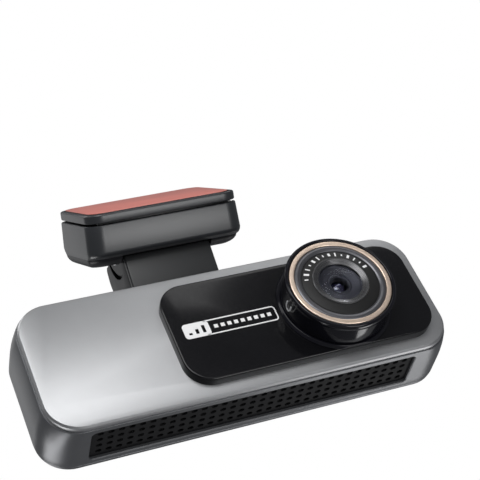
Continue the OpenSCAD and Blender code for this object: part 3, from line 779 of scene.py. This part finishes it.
DRUM_BACK, LIP_H = reach("drum_barrel")
LIP_R = radius("drum_barrel")
SKIRT_R, SKIRT_H = LIP_R - 0.2, 3.6
SHOULDER_H, TRIM_H = reach("gold_ring")
TRIM_R, SHOULDER_R = radius("gold_ring"), radius("bevel_ring")
TRIM_IN = 11.05
BEVEL_FOOT, BEVEL_H = reach("bevel_ring")
DIAL_FOOT, DIAL_H = reach("dial_ring")
DIAL_R = 9.45
INNER_R = radius("inner_ring")
INNER_FOOT, INNER_H = reach("inner_ring")
GLASS_R = radius("front_lens")
GLASS_FOOT, GLASS_H = reach("front_lens")
IRIS_R = radius("iris_lens")
IRIS_FOOT, IRIS_H = reach("iris_lens")
DIAL_EDGE_H = DIAL_H - 0.55


def drum():
    """The turning drum's outer wall, its keeper and the trim ring."""
    wall = lathe("drum_wall", [
        (SHOULDER_R, DRUM_BACK), (DRUM_R, DRUM_BACK), (DRUM_R, SKIRT_H), (SKIRT_R, SKIRT_H),
        (SKIRT_R, LIP_H - 1.7), (LIP_R, LIP_H - 1.1), (LIP_R, LIP_H - 0.35),
        (LIP_R - 0.35, LIP_H), (TRIM_R + 0.2, LIP_H - 0.05), (TRIM_R + 0.1, SHOULDER_H),
        (SHOULDER_R, SHOULDER_H)], round_r=0.22, steps=5)
    dress(wall, DRUM_BLACK, "drum", "gloss_black", "drum_barrel")
    keep_foot, keep_top = reach("drum_retainer")
    keep_r = radius("drum_retainer")
    dress(lathe("drum_keeper", [(DRUM_R, keep_foot), (keep_r, keep_foot), (keep_r, keep_top),
                                (DRUM_R, keep_top)]),
          MATT_BLACK, "drum", "matt_black", "drum_retainer")
    trim = lathe("champagne_ring", [
        (TRIM_IN, SHOULDER_H), (TRIM_R, SHOULDER_H), (TRIM_R, TRIM_H - 0.12),
        (TRIM_R - 0.15, TRIM_H - 0.02), (TRIM_IN + 0.15, TRIM_H), (TRIM_IN, TRIM_H - 0.12)],
        round_r=0.1, steps=4)
    dress(trim, CHAMPAGNE, "drum", "champagne", "gold_ring")


def dial_h(r):
    """Height of the dial's face, which rises towards the lens."""
    return DIAL_EDGE_H + (DIAL_H - DIAL_EDGE_H) * (DIAL_R - r) / (DIAL_R - INNER_R)


def dial():
    """Bevel, dial face and the inner ring round the front glass."""
    slope = lathe("bevel_slope", [
        (DIAL_R, BEVEL_FOOT), (SHOULDER_R, BEVEL_FOOT), (SHOULDER_R, SHOULDER_H),
        (TRIM_IN, SHOULDER_H), (TRIM_IN, BEVEL_H - 0.22), (10.75, BEVEL_H - 0.05), (10.3, BEVEL_H),
        (9.8, BEVEL_H - 0.08), (DIAL_R, BEVEL_H - 0.25)], round_r=0.1)
    dress(slope, BEVEL_GREY, "drum", "bevel_grey", "bevel_ring")
    face = lathe("dial_face", [
        (INNER_R, DIAL_FOOT), (SHOULDER_R, DIAL_FOOT), (SHOULDER_R, BEVEL_FOOT),
        (DIAL_R, BEVEL_FOOT), (DIAL_R, dial_h(DIAL_R) - 0.05), (9.3, dial_h(9.3) - 0.1),
        (9.2, dial_h(9.2)), (INNER_R, dial_h(INNER_R))], round_r=0.05)
    dress(face, DIAL_BLACK, "drum", "matt_black", "dial_ring")
    # the inner ring's face is finely stepped, so it glints along its upper arc
    profile = [(GLASS_R, INNER_FOOT), (INNER_R, INNER_FOOT), (INNER_R, INNER_H - 0.15),
               (INNER_R - 0.12, INNER_H), (INNER_R - 0.35, INNER_H)]
    r, h, steps = INNER_R - 0.35, INNER_H, 4
    fall = (INNER_H - GLASS_FOOT - 0.5) / steps
    pace = (r - GLASS_R - 0.05) / steps
    for _ in range(steps):
        profile += [(r - pace * 0.8, h - fall * 0.55), (r - pace, h - fall)]
        r, h = r - pace, h - fall
    profile.append((GLASS_R, h))
    dress(lathe("inner_slope", profile, round_r=0.02, steps=2), INNER_GREY, "drum", "bevel_grey",
          "inner_ring")


def dial_marks():
    """Plain printed dashes round the upper arc of the dial."""
    lengths = (1.3, 0.7, 1.2, 1.2, 0.6, 1.3, 1.0, 0.7, 1.3, 1.1, 0.6, 1.2, 1.3, 0.9)
    mid_r = 8.2
    slope = math.atan2(DIAL_H - DIAL_EDGE_H, DIAL_R - INNER_R)
    parts = []
    for i, length in enumerate(lengths):
        spot = OUT @ Matrix.Rotation(math.radians(20 + 11 * i), 4, "Z")
        spot = spot @ Matrix.Translation((mid_r, 0, dial_h(mid_r) + 0.01))
        spot = spot @ Matrix.Rotation(slope, 4, "Y")
        half = 0.17 if i % 3 else 0.3
        parts.append(block("dash", (-length / 2, -half, -0.05), (length / 2, half, 0.04), spot,
                           0.03, 1))
    piece = join("dial_dashes", parts)
    return dress(smooth(piece), WHITE_INK, "drum", "label_white", "dial_marks")


def optics():
    """Front glass, dished baffle with a raised collar, and the small lens in its pupil."""
    edge_r = GLASS_R - 0.05
    curve_r = 14.5
    crown = GLASS_H - 0.03
    outer = [(r, crown - curve_r + math.sqrt(curve_r ** 2 - r * r))
             for r in [edge_r * i / 24 for i in range(25)]]
    under = [(r, GLASS_FOOT + 0.02 + (1 - (r / edge_r) ** 2) * 0.9)
             for r in [edge_r * (1 - i / 12) for i in range(13)]]
    glass = dome("lens_front", [*outer, *under], OUT, 128)
    dress(glass, LENS_GLASS, "drum", "lens_glass", "front_lens")
    foot, top = reach("lens_baffle")
    outline = [(IRIS_R + 0.02, foot), (INNER_R, foot), (INNER_R, INNER_FOOT), (GLASS_R, INNER_FOOT),
               (GLASS_R, top), (GLASS_R - 0.3, top), (4.7, top - 0.22), (3.9, top - 0.52),
               (3.1, top - 0.72), (2.85, top - 0.72), (2.72, top - 0.55), (2.45, top - 0.5),
               (2.15, top - 0.68), (IRIS_R + 0.1, top - 1.0), (IRIS_R + 0.02, top - 1.2)]
    baffle = lathe("baffle", outline, round_r=0.08)
    dress(baffle, BAFFLE, "drum", "matt_black", "lens_baffle")
    ball = 2.5
    curve = [(r, IRIS_H - ball + math.sqrt(ball ** 2 - r * r))
             for r in [IRIS_R * i / 18 for i in range(19)]]
    iris = dome("iris_glass", [*curve, (IRIS_R, IRIS_FOOT), (0, IRIS_FOOT)], OUT, 64)
    dress(iris, IRIS, "drum", "iris_blue", "iris_lens")


def iris_material():
    """Coated inner lens: violet at the rim, deep blue at the heart."""
    material, nodes, links, principled = shader("iris_coating")
    distance = lens_distance(nodes, links, coordinates(nodes, links, origin=LENS))
    away = spread(nodes, links, distance, 0.0, 1.0, 0.0, IRIS_R)
    tone = ramp(nodes, links, away, (0.0, (0.003, 0.003, 0.02)), (0.30, (0.006, 0.004, 0.030)),
                (0.50, (0.006, 0.005, 0.016)), (1.0, (0.001, 0.001, 0.002)))
    links.new(tone, principled.inputs["Base Color"])
    principled.inputs["Roughness"].default_value = 0.03
    principled.inputs["Coat Weight"].default_value = 1.0
    principled.inputs["Coat Roughness"].default_value = 0.02
    return material


IRIS = iris_material()


def base_ring():
    """Fixed ring that the drum turns in, flush with the fascia's lower edge."""
    foot, top = reach("lens_base_ring")
    r = radius("lens_base_ring")
    bore = DRUM_R + 0.08
    piece = lathe("drum_seat", [
        (bore, foot), (r, foot), (r, foot + 0.3), (r - 0.5, top), (bore + 0.1, top),
        (bore, top - 0.1)], round_r=0.12)
    below = FASCIA_LO.z - CENTRE.z
    cut(piece, box_cutter((-99, -20, below - 10), (99, 20, below)))
    return dress(smooth(piece, 35), DRUM_BLACK, "camera", "matt_black", "lens_base_ring")


def index_mark():
    """Small open arrow moulded on the drum's side."""
    lo, hi = box_mm("index_mark")
    spot = OUT @ Matrix.Rotation(math.radians(185), 4, "Z")
    spot = spot @ Matrix.Translation((SKIRT_R, 0, CENTRE.y - (lo.y + hi.y) / 2))
    spot = spot @ Matrix.Rotation(math.radians(90), 4, "Y")
    spot = spot @ Matrix.Rotation(math.radians(90), 4, "Z")
    outer = [(-1.1, 1.15), (-1.1, -0.15), (-0.5, -1.1), (0.5, -1.1), (1.1, -0.15), (1.1, 1.15),
             (0.72, 1.15), (0.72, 0.0), (0.32, -0.72), (-0.32, -0.72), (-0.72, 0.0), (-0.72, 1.15)]
    verts = [(x, y, z) for z in (-0.2, 0.12) for x, y in outer]
    n = len(outer)
    faces = [tuple(range(n)), tuple(n + i for i in range(n))]
    faces += [(i, (i + 1) % n, n + (i + 1) % n, n + i) for i in range(n)]
    piece = make("index_arrow", verts, faces, spot)
    return dress(smooth(piece), MARK_GREY, "drum", "bevel_grey", "index_mark")


# ---------------------------------------------------------------- windscreen mount


# the mount's own sizes, in the glass frame: X along the block, Y along the glass, Z out of it
BASE_LO, BASE_HI = box_mm("base_plate")
BLOCK_LO, BLOCK_HI = box_mm("block_shell")
PAD_W = BASE_HI.x - BASE_LO.x
BLOCK_W = BLOCK_HI.x - BLOCK_LO.x
MOUNT_D = 29.0
BASE_T = 2.4
TAPE_T = 0.9
PAD_INSET = 1.2
MOUNT_R = 4.0
BLOCK_TOP, BLOCK_FOOT, BELLY = -2.9, -11.5, -13.7
RAIL_A = 9.4
KNUCKLE_R = 5.0
ROOM_R = KNUCKLE_R + 0.4


def base_plate():
    """Adhesive base plate with its two T rails."""
    rim = 0.5
    stations = [(-BASE_T, 0.25), (-BASE_T + 0.12, 0.06), (-BASE_T + 0.3, 0.0), (-0.2 - rim, 0.0)]
    for i in range(1, 6):
        a = math.radians(18 * i)
        stations.append((-0.2 - rim + rim * math.sin(a), rim * (1 - math.cos(a))))
    stations += [(-0.2, PAD_INSET - 0.15), (-0.25, PAD_INSET - 0.08), (-TAPE_T, PAD_INSET - 0.08)]
    piece = loft("base_shell", slab_rings(PAD_W, MOUNT_D, MOUNT_R, stations, 12), GLASS)
    rails = []
    half = BLOCK_W / 2 - 4
    for side in (-1, 1):
        outline = [(-1, -BASE_T), (-1, -4.4), (-2, -4.4), (-2, -5.6), (2, -5.6), (2, -4.4),
                   (1, -4.4), (1, -BASE_T)]
        shifted = [(a + side * RAIL_A, b) for a, b in outline]
        rails.append(prism_x("rail", shifted, -half, half, GLASS, 0.12, 2))
    piece = join("base_shell", [piece, *rails])
    return dress(smooth(piece, 28), MOUNT, "base", "mount_plastic", "base_plate")


def pad():
    """Foam tape with its red release film."""
    w, d, film_t = PAD_W - 2 * PAD_INSET, MOUNT_D - 2 * PAD_INSET, 0.1
    levels = [(-TAPE_T, 0.02), (-TAPE_T + 0.04, 0), (-film_t - 0.04, 0), (-film_t, 0.02)]
    tape = loft("tape_pad", slab_rings(w, d, MOUNT_R - 0.6, levels, 12), GLASS)
    dress(tape, FOAM, "base", "foam", "foam_tape")
    levels = [(-film_t, 0.0), (-0.02, 0.0), (0.0, 0.04)]
    film = loft("release_film", slab_rings(w, d, MOUNT_R - 0.6, levels, 12), GLASS)
    dress(smooth(film, 30), LINER, "base", "liner_red", "liner_film")


def block_ring(b, inset, back=0.0):
    """One level of the block: its front draws back by back millimetres."""
    outline = rounded(BLOCK_W - 2 * inset, MOUNT_D - 2 * inset - back, MOUNT_R - inset / 2, 12)
    return [(x, y + back / 2, b) for x, y in outline]


def mount_block():
    """Block under the base plate, and its belly, set off by a crease; the belly takes the block's plastic painted
    darker, as painted shade on its downward face.
    """
    levels = [(BLOCK_TOP, 0.55), (BLOCK_TOP - 0.12, 0.36), (BLOCK_TOP - 0.35, 0.3), (-9.4, 0.0),
              (-9.9, 0.06, 0.05), (-10.4, 0.15, 0.3), (-10.8, 0.25, 0.7), (-11.1, 0.32, 1.3),
              (-11.2, 0.36, 1.9)]
    upper = loft("block_body", [block_ring(*level) for level in levels], GLASS)
    levels = [(-11.2, 0.38, 2.0), (-11.6, 0.42, 2.1), (-12.0, 0.52, 2.3), (-12.6, 0.85, 2.8),
              (-13.1, 1.3, 3.5), (-13.5, 1.9, 4.2), (BELLY, 2.6, 5.0)]
    lower = loft("block_belly", [block_ring(*level) for level in levels], GLASS)
    # the belly gets the darker copy of the block's plastic, as painted shade
    looks = ((upper, MOUNT, "mount_plastic"), (lower, BELLY_PAINTED_SHADE, "matt_black"))
    for piece, material, slot_name in looks:
        hollow_out(piece)
        dress(smooth(piece, 28), material, "block", slot_name, "block_shell")


def hollow_out(piece):
    """Takes the insert's pocket, the rail slots and the knuckle's room out of a block piece."""
    hinge = GLASS.inverted() @ HINGE
    half = box_mm("friction_washers")[1].x + 0.05
    under = BELLY - 1
    hollow = slab_rings(BLOCK_W - 2.2, MOUNT_D - 2.2, MOUNT_R - 1.1, [(-6.6, 0), (0, 0)], 12)
    cut(piece, loft("cutter", hollow, GLASS))
    # rails leave through the right end
    for side in (-1, 1):
        for half_a, b0, b1 in ((1.2, -4.9, 0), (2.2, -5.8, -4.2)):
            cut(piece, box_cutter((3.7 - BLOCK_W / 2, side * RAIL_A - half_a, b0),
                                  (BLOCK_W / 2 + 2, side * RAIL_A + half_a, b1), GLASS))
    # room for the knuckle and the neck's top, open through the belly
    cut(piece, side_cutter(circle(hinge.y, hinge.z, ROOM_R, 48), -half, half, GLASS),
        box_cutter((-half, -12.6, under), (half, hinge.y, -8), GLASS),
        box_cutter((-half, hinge.y - ROOM_R, under), (half, hinge.y + ROOM_R, hinge.z), GLASS),
        box_cutter((-half, -MOUNT_D, under), (half, 10.5, BLOCK_FOOT), GLASS),
        box_cutter((-16, 4, -10.2), (16, 13, -6), GLASS),
        box_cutter((-4.2, 12, -8.8), (4.2, 16, -6.9), GLASS))
    return piece


def release_key():
    """Ribbed key at the back of the block."""
    parts = [block("body", (-4, 12.3, -8.65), (4, 14.7, -7.05), GLASS, 0.15),
             block("flange", (-4.8, 12.3, -9.1), (4.8, 12.7, -7.05), GLASS, 0.05)]
    for i in range(5):
        x = -2.4 + 1.2 * i
        parts.append(block("rib", (x - 0.25, 14.6, -8.5), (x + 0.25, 15.05, -7.2), GLASS, 0.1))
    piece = join("latch_key", parts)
    return dress(smooth(piece, 30), MATT_BLACK, "latch", "matt_black", "release_key")


# ---------------------------------------------------------------- neck

FRONT_TOP = Vector((3.3, 29.0))
FRONT_FOOT = Vector((6.5, SHELL_HI.z - CENTRE.z))
LEAN = math.atan2(FRONT_FOOT.x - FRONT_TOP.x, FRONT_TOP.y - FRONT_FOOT.y)
INWARD = Vector((math.cos(LEAN), math.sin(LEAN)))
NECK_MID = (NECK_LO.x + NECK_HI.x) / 2
NECK_W = NECK_HI.x - NECK_LO.x
NECK_PLACE = Matrix.Translation((NECK_MID, CENTRE.y, CENTRE.z))
COVER_T = 1.8
SEAM = 2.25
GROOVE_R = 8.1
RIB_INSET = 2.0
RIB_DEPTH = 0.5
RIB_START = Vector((0.2, 1.8))
PIN_GAP = 0.1


def neck_cover():
    """Front cover of the neck, set off from the core by a seam."""
    a = FRONT_FOOT + INWARD * COVER_T
    outline = [tuple(FRONT_FOOT), (a.x + 0.1, FRONT_FOOT.y), tuple(FRONT_TOP + INWARD * COVER_T),
               tuple(FRONT_TOP)]
    half = NECK_W / 2 + 0.2
    skin = prism_x("skin", outline, -half, half, NECK_PLACE, 0.45, 4)
    # a rib closes the sight line through the seam
    root, depth = INWARD * (COVER_T - 0.1), INWARD * RIB_DEPTH
    foot, top = FRONT_FOOT + root + RIB_START, FRONT_TOP + root - Vector((0, RIB_START.y))
    rib_outline = [tuple(foot), tuple(foot + depth), tuple(top + depth), tuple(top)]
    rib = prism_x("rib", rib_outline, RIB_INSET - half, half - RIB_INSET, NECK_PLACE, 0.05, 1)
    piece = join("neck_front_cover", [skin, rib])
    return dress(piece, NECK_FRONT, "camera", "gunmetal", "neck_cover")


def neck_core():
    """Knuckle and pillar in one piece, with a curved stop groove in each side and the pin's bore."""
    hy, hz = HINGE.y - CENTRE.y, HINGE.z - CENTRE.z
    a, b = FRONT_FOOT + INWARD * SEAM, FRONT_TOP + INWARD * SEAM
    corners = [(a.x + 0.2, FRONT_FOOT.y), tuple(b), (hy - 4.2, hz - 1.6), (hy, hz), (hy + 4.4, hz),
               (19.2, 38.4), (20.1, 37.9), (21.6, 34.2), (21.2, 30), (18.8, 22.5),
               (16.4, FRONT_FOOT.y)]
    radii = [0, 0.4, 0, 0, 0, 1.0, 1.0, 2.0, 3.0, 3.0, 0]
    half = NECK_W / 2
    pillar = prism_x("pillar", fillet(corners, radii, 5), -half, half, NECK_PLACE, 0.3, 3)
    knuckle = prism_x("knuckle", circle(hy, hz, KNUCKLE_R, 64), -half, half, NECK_PLACE, 0.3, 3)
    # crescent grooves, wide near the block and closing to a point
    for side in (-1, 1):
        outer, inner = [], []
        for i in range(17):
            t = math.radians(-78 + 84 * i / 16)
            fat = 1.15 * math.sin(math.pi * min(i / 16 * 0.75 + 0.02, 1)) + 0.05
            far, near = GROOVE_R + fat * 0.3, GROOVE_R - fat
            outer.append((hy + far * math.cos(t), hz + far * math.sin(t)))
            inner.append((hy + near * math.cos(t), hz + near * math.sin(t)))
        ring = outer + inner[::-1]
        cut(pillar, side_cutter(ring, side * (half - 0.9), side * (half + 1), NECK_PLACE))
    piece = join("neck_core_body", [pillar, knuckle])
    pin_lo, pin_hi = box_mm("tilt_pin")
    bore_r = (pin_hi.z - pin_lo.z) / 2 + PIN_GAP
    cut(piece, side_cutter(circle(hy, hz, bore_r, 48), -half - 1, half + 1, NECK_PLACE))
    return dress(smooth(piece, 35), NECK, "camera", "mount_plastic", "neck_core")


# ---------------------------------------------------------------- sockets and carried-over nodes


def carried_over():
    """CAD nodes whose shape is right get their own material."""
    looks = {
        "base_contacts": GOLD_PLATE, "contact_pins": GOLD_PLATE, "rail_insert": MATT_BLACK,
        "tilt_pin": STEEL, "friction_washers": STEEL, "gps_board": BOARD, "gps_antenna": CERAMIC,
        "neck_screws": STEEL, "dust_mesh": MESH_CLOTH, "speaker": MATT_BLACK, "main_board": BOARD,
        "processor": CHIP, "memory_chips": CHIP, "thermal_pad": THERMAL, "heat_sink": ALUMINIUM,
        "capacitors": SLEEVE, "wifi_antenna": CERAMIC, "microphone": STEEL, "usb_socket": STEEL,
        "jack_socket": MATT_BLACK, "card_socket": STEEL, "memory_card": CHIP,
        "status_light": CLEAR, "button_switches": STEEL, "lens_tube": MATT_BLACK,
        "sensor_board": BOARD, "image_sensor": CHIP,
    }
    for node, material in looks.items():
        piece = frame["nodes"][node]
        piece.data.materials.clear()
        piece.data.materials.append(material)


# ---------------------------------------------------------------- stage, light and camera

# where the camera stands: it looks up from below the lens, from the left, rolled clockwise
VIEW_AZIMUTH = 25.9
VIEW_UP = 34.4
VIEW_ROLL = -26.4
VIEW_DISTANCE = 330.0
VIEW_TARGET = Vector((18.2, -1.2, -19.1))
FLOOR_DROP = 900.0
FLOOR_W = 1400.0
FOCAL_MM = 99.6
FILL = 0.17
# (name, direction as right, up and towards the camera, distance in metres, size, watts)
LIGHTS = (
    ("key", (-0.2, 0.75, 0.6), 0.6, (0.35, 0.35), 1.9),
    ("front", (0.23, 0.67, 0.7), 0.6, (0.35, 0.3), 0.3),
    ("top", (0.25, 0.95, -0.15), 0.7, (0.5, 0.15), 0.45),
    ("near", (0.6, 0.0, 0.8), 0.7, (0.3, 0.3), 1.4),
    ("low_left", (-0.5, -0.85, -0.15), 0.6, (0.12, 0.4), 0.85),
    ("low_right", (0.55, -0.75, -0.35), 0.6, (0.2, 0.2), 0.45),
    ("left_back", (-0.66, -0.13, -0.74), 0.6, (0.3, 0.3), 0.13),
    ("left_top", (-0.75, 0.45, -0.45), 0.7, (0.3, 0.3), 0.9),
    ("edge_left", (-0.83, 0.52, 0.22), 0.6, (0.2, 0.2), 0.3),
    ("spark", (0.24, 0.75, -0.5), 0.6, (0.06, 0.06), 0.12),
)


def view_axes():
    """Right, up and forward of the camera."""
    az, up = math.radians(VIEW_AZIMUTH), math.radians(VIEW_UP)
    forward = Vector((math.sin(az) * math.cos(up), math.cos(az) * math.cos(up), math.sin(up)))
    right = forward.cross(Vector((0, 0, 1))).normalized()
    over = right.cross(forward)
    turn = math.radians(VIEW_ROLL)
    return (right * math.cos(turn) + over * math.sin(turn),
            over * math.cos(turn) - right * math.sin(turn), forward)


def add_camera():
    """Camera at VIEW_DISTANCE from its target, without depth of field."""
    right, up, forward = view_axes()
    data = bpy.data.cameras.new("camera")
    data.sensor_width = 36
    data.lens = FOCAL_MM
    data.clip_start, data.clip_end = 0.01, 20
    seen = bpy.data.objects.new("view", data)
    spot = VIEW_TARGET - forward * VIEW_DISTANCE
    basis = Matrix((right, up, -forward)).transposed().to_4x4()
    seen.matrix_world = Matrix.Translation(spot * MM) @ basis
    bpy.context.scene.collection.objects.link(seen)
    bpy.context.scene.camera = seen


def softbox(name, direction, distance, size, power):
    """An area light that stands off along a direction (right, up, towards the camera)."""
    right, up, forward = view_axes()
    away = (right * direction[0] + up * direction[1] - forward * direction[2]).normalized()
    data = bpy.data.lights.new(name, "AREA")
    data.shape = "RECTANGLE"
    data.size, data.size_y = size
    data.energy = power
    lamp = bpy.data.objects.new(name, data)
    lamp.location = (VIEW_TARGET * MM) + away * distance
    lamp.rotation_mode = "QUATERNION"
    lamp.rotation_quaternion = (-away).to_track_quat("-Z", "Y")
    bpy.context.scene.collection.objects.link(lamp)


def add_world():
    """White to the camera, and a soft grey fill for the object."""
    world = bpy.data.worlds.new("studio")
    bpy.context.scene.world = world
    world.use_nodes = True
    nodes, links = world.node_tree.nodes, world.node_tree.links
    seen, fill = nodes["Background"], nodes.new("ShaderNodeBackground")
    seen.inputs["Color"].default_value = (1, 1, 1, 1)
    seen.inputs["Strength"].default_value = 1.0
    fill.inputs["Color"].default_value = (0.93, 0.95, 1.0, 1)
    fill.inputs["Strength"].default_value = FILL
    path, mix = nodes.new("ShaderNodeLightPath"), nodes.new("ShaderNodeMixShader")
    links.new(path.outputs["Is Camera Ray"], mix.inputs["Fac"])
    links.new(fill.outputs["Background"], mix.inputs[1])
    links.new(seen.outputs["Background"], mix.inputs[2])
    links.new(mix.outputs["Shader"], nodes["World Output"].inputs["Surface"])


def add_floor():
    """Plain pale floor, well below the hanging camera."""
    drop = -FLOOR_DROP
    floor = loft("floor", [[(x, y, drop + z) for x, y in rounded(FLOOR_W, FLOOR_W, 200, 8)]
                           for z in (-10, 0)], Matrix())
    material, nodes, links, principled = shader("pale_floor")
    where = coordinates(nodes, links)
    tone = ramp(nodes, links, noise(nodes, links, where, 0.02, 2), (0.3, (0.80, 0.80, 0.80)),
                (0.7, (0.84, 0.84, 0.84)))
    links.new(tone, principled.inputs["Base Color"])
    principled.inputs["Roughness"].default_value = 0.8
    floor.data.materials.append(material)


def main():
    for build in (carried_over, front_plate, fascia, badge, shell, rear_cover, cover_screws,
                  grille_panel, rear_buttons, base_ring, drum, dial, dial_marks, optics,
                  index_mark, base_plate, pad, mount_block, release_key, neck_cover, neck_core):
        build()
    add_floor()
    add_world()
    for light in LIGHTS:
        softbox(*light)
    add_camera()
    scene = bpy.context.scene
    scene.view_settings.view_transform = "Standard"


main()
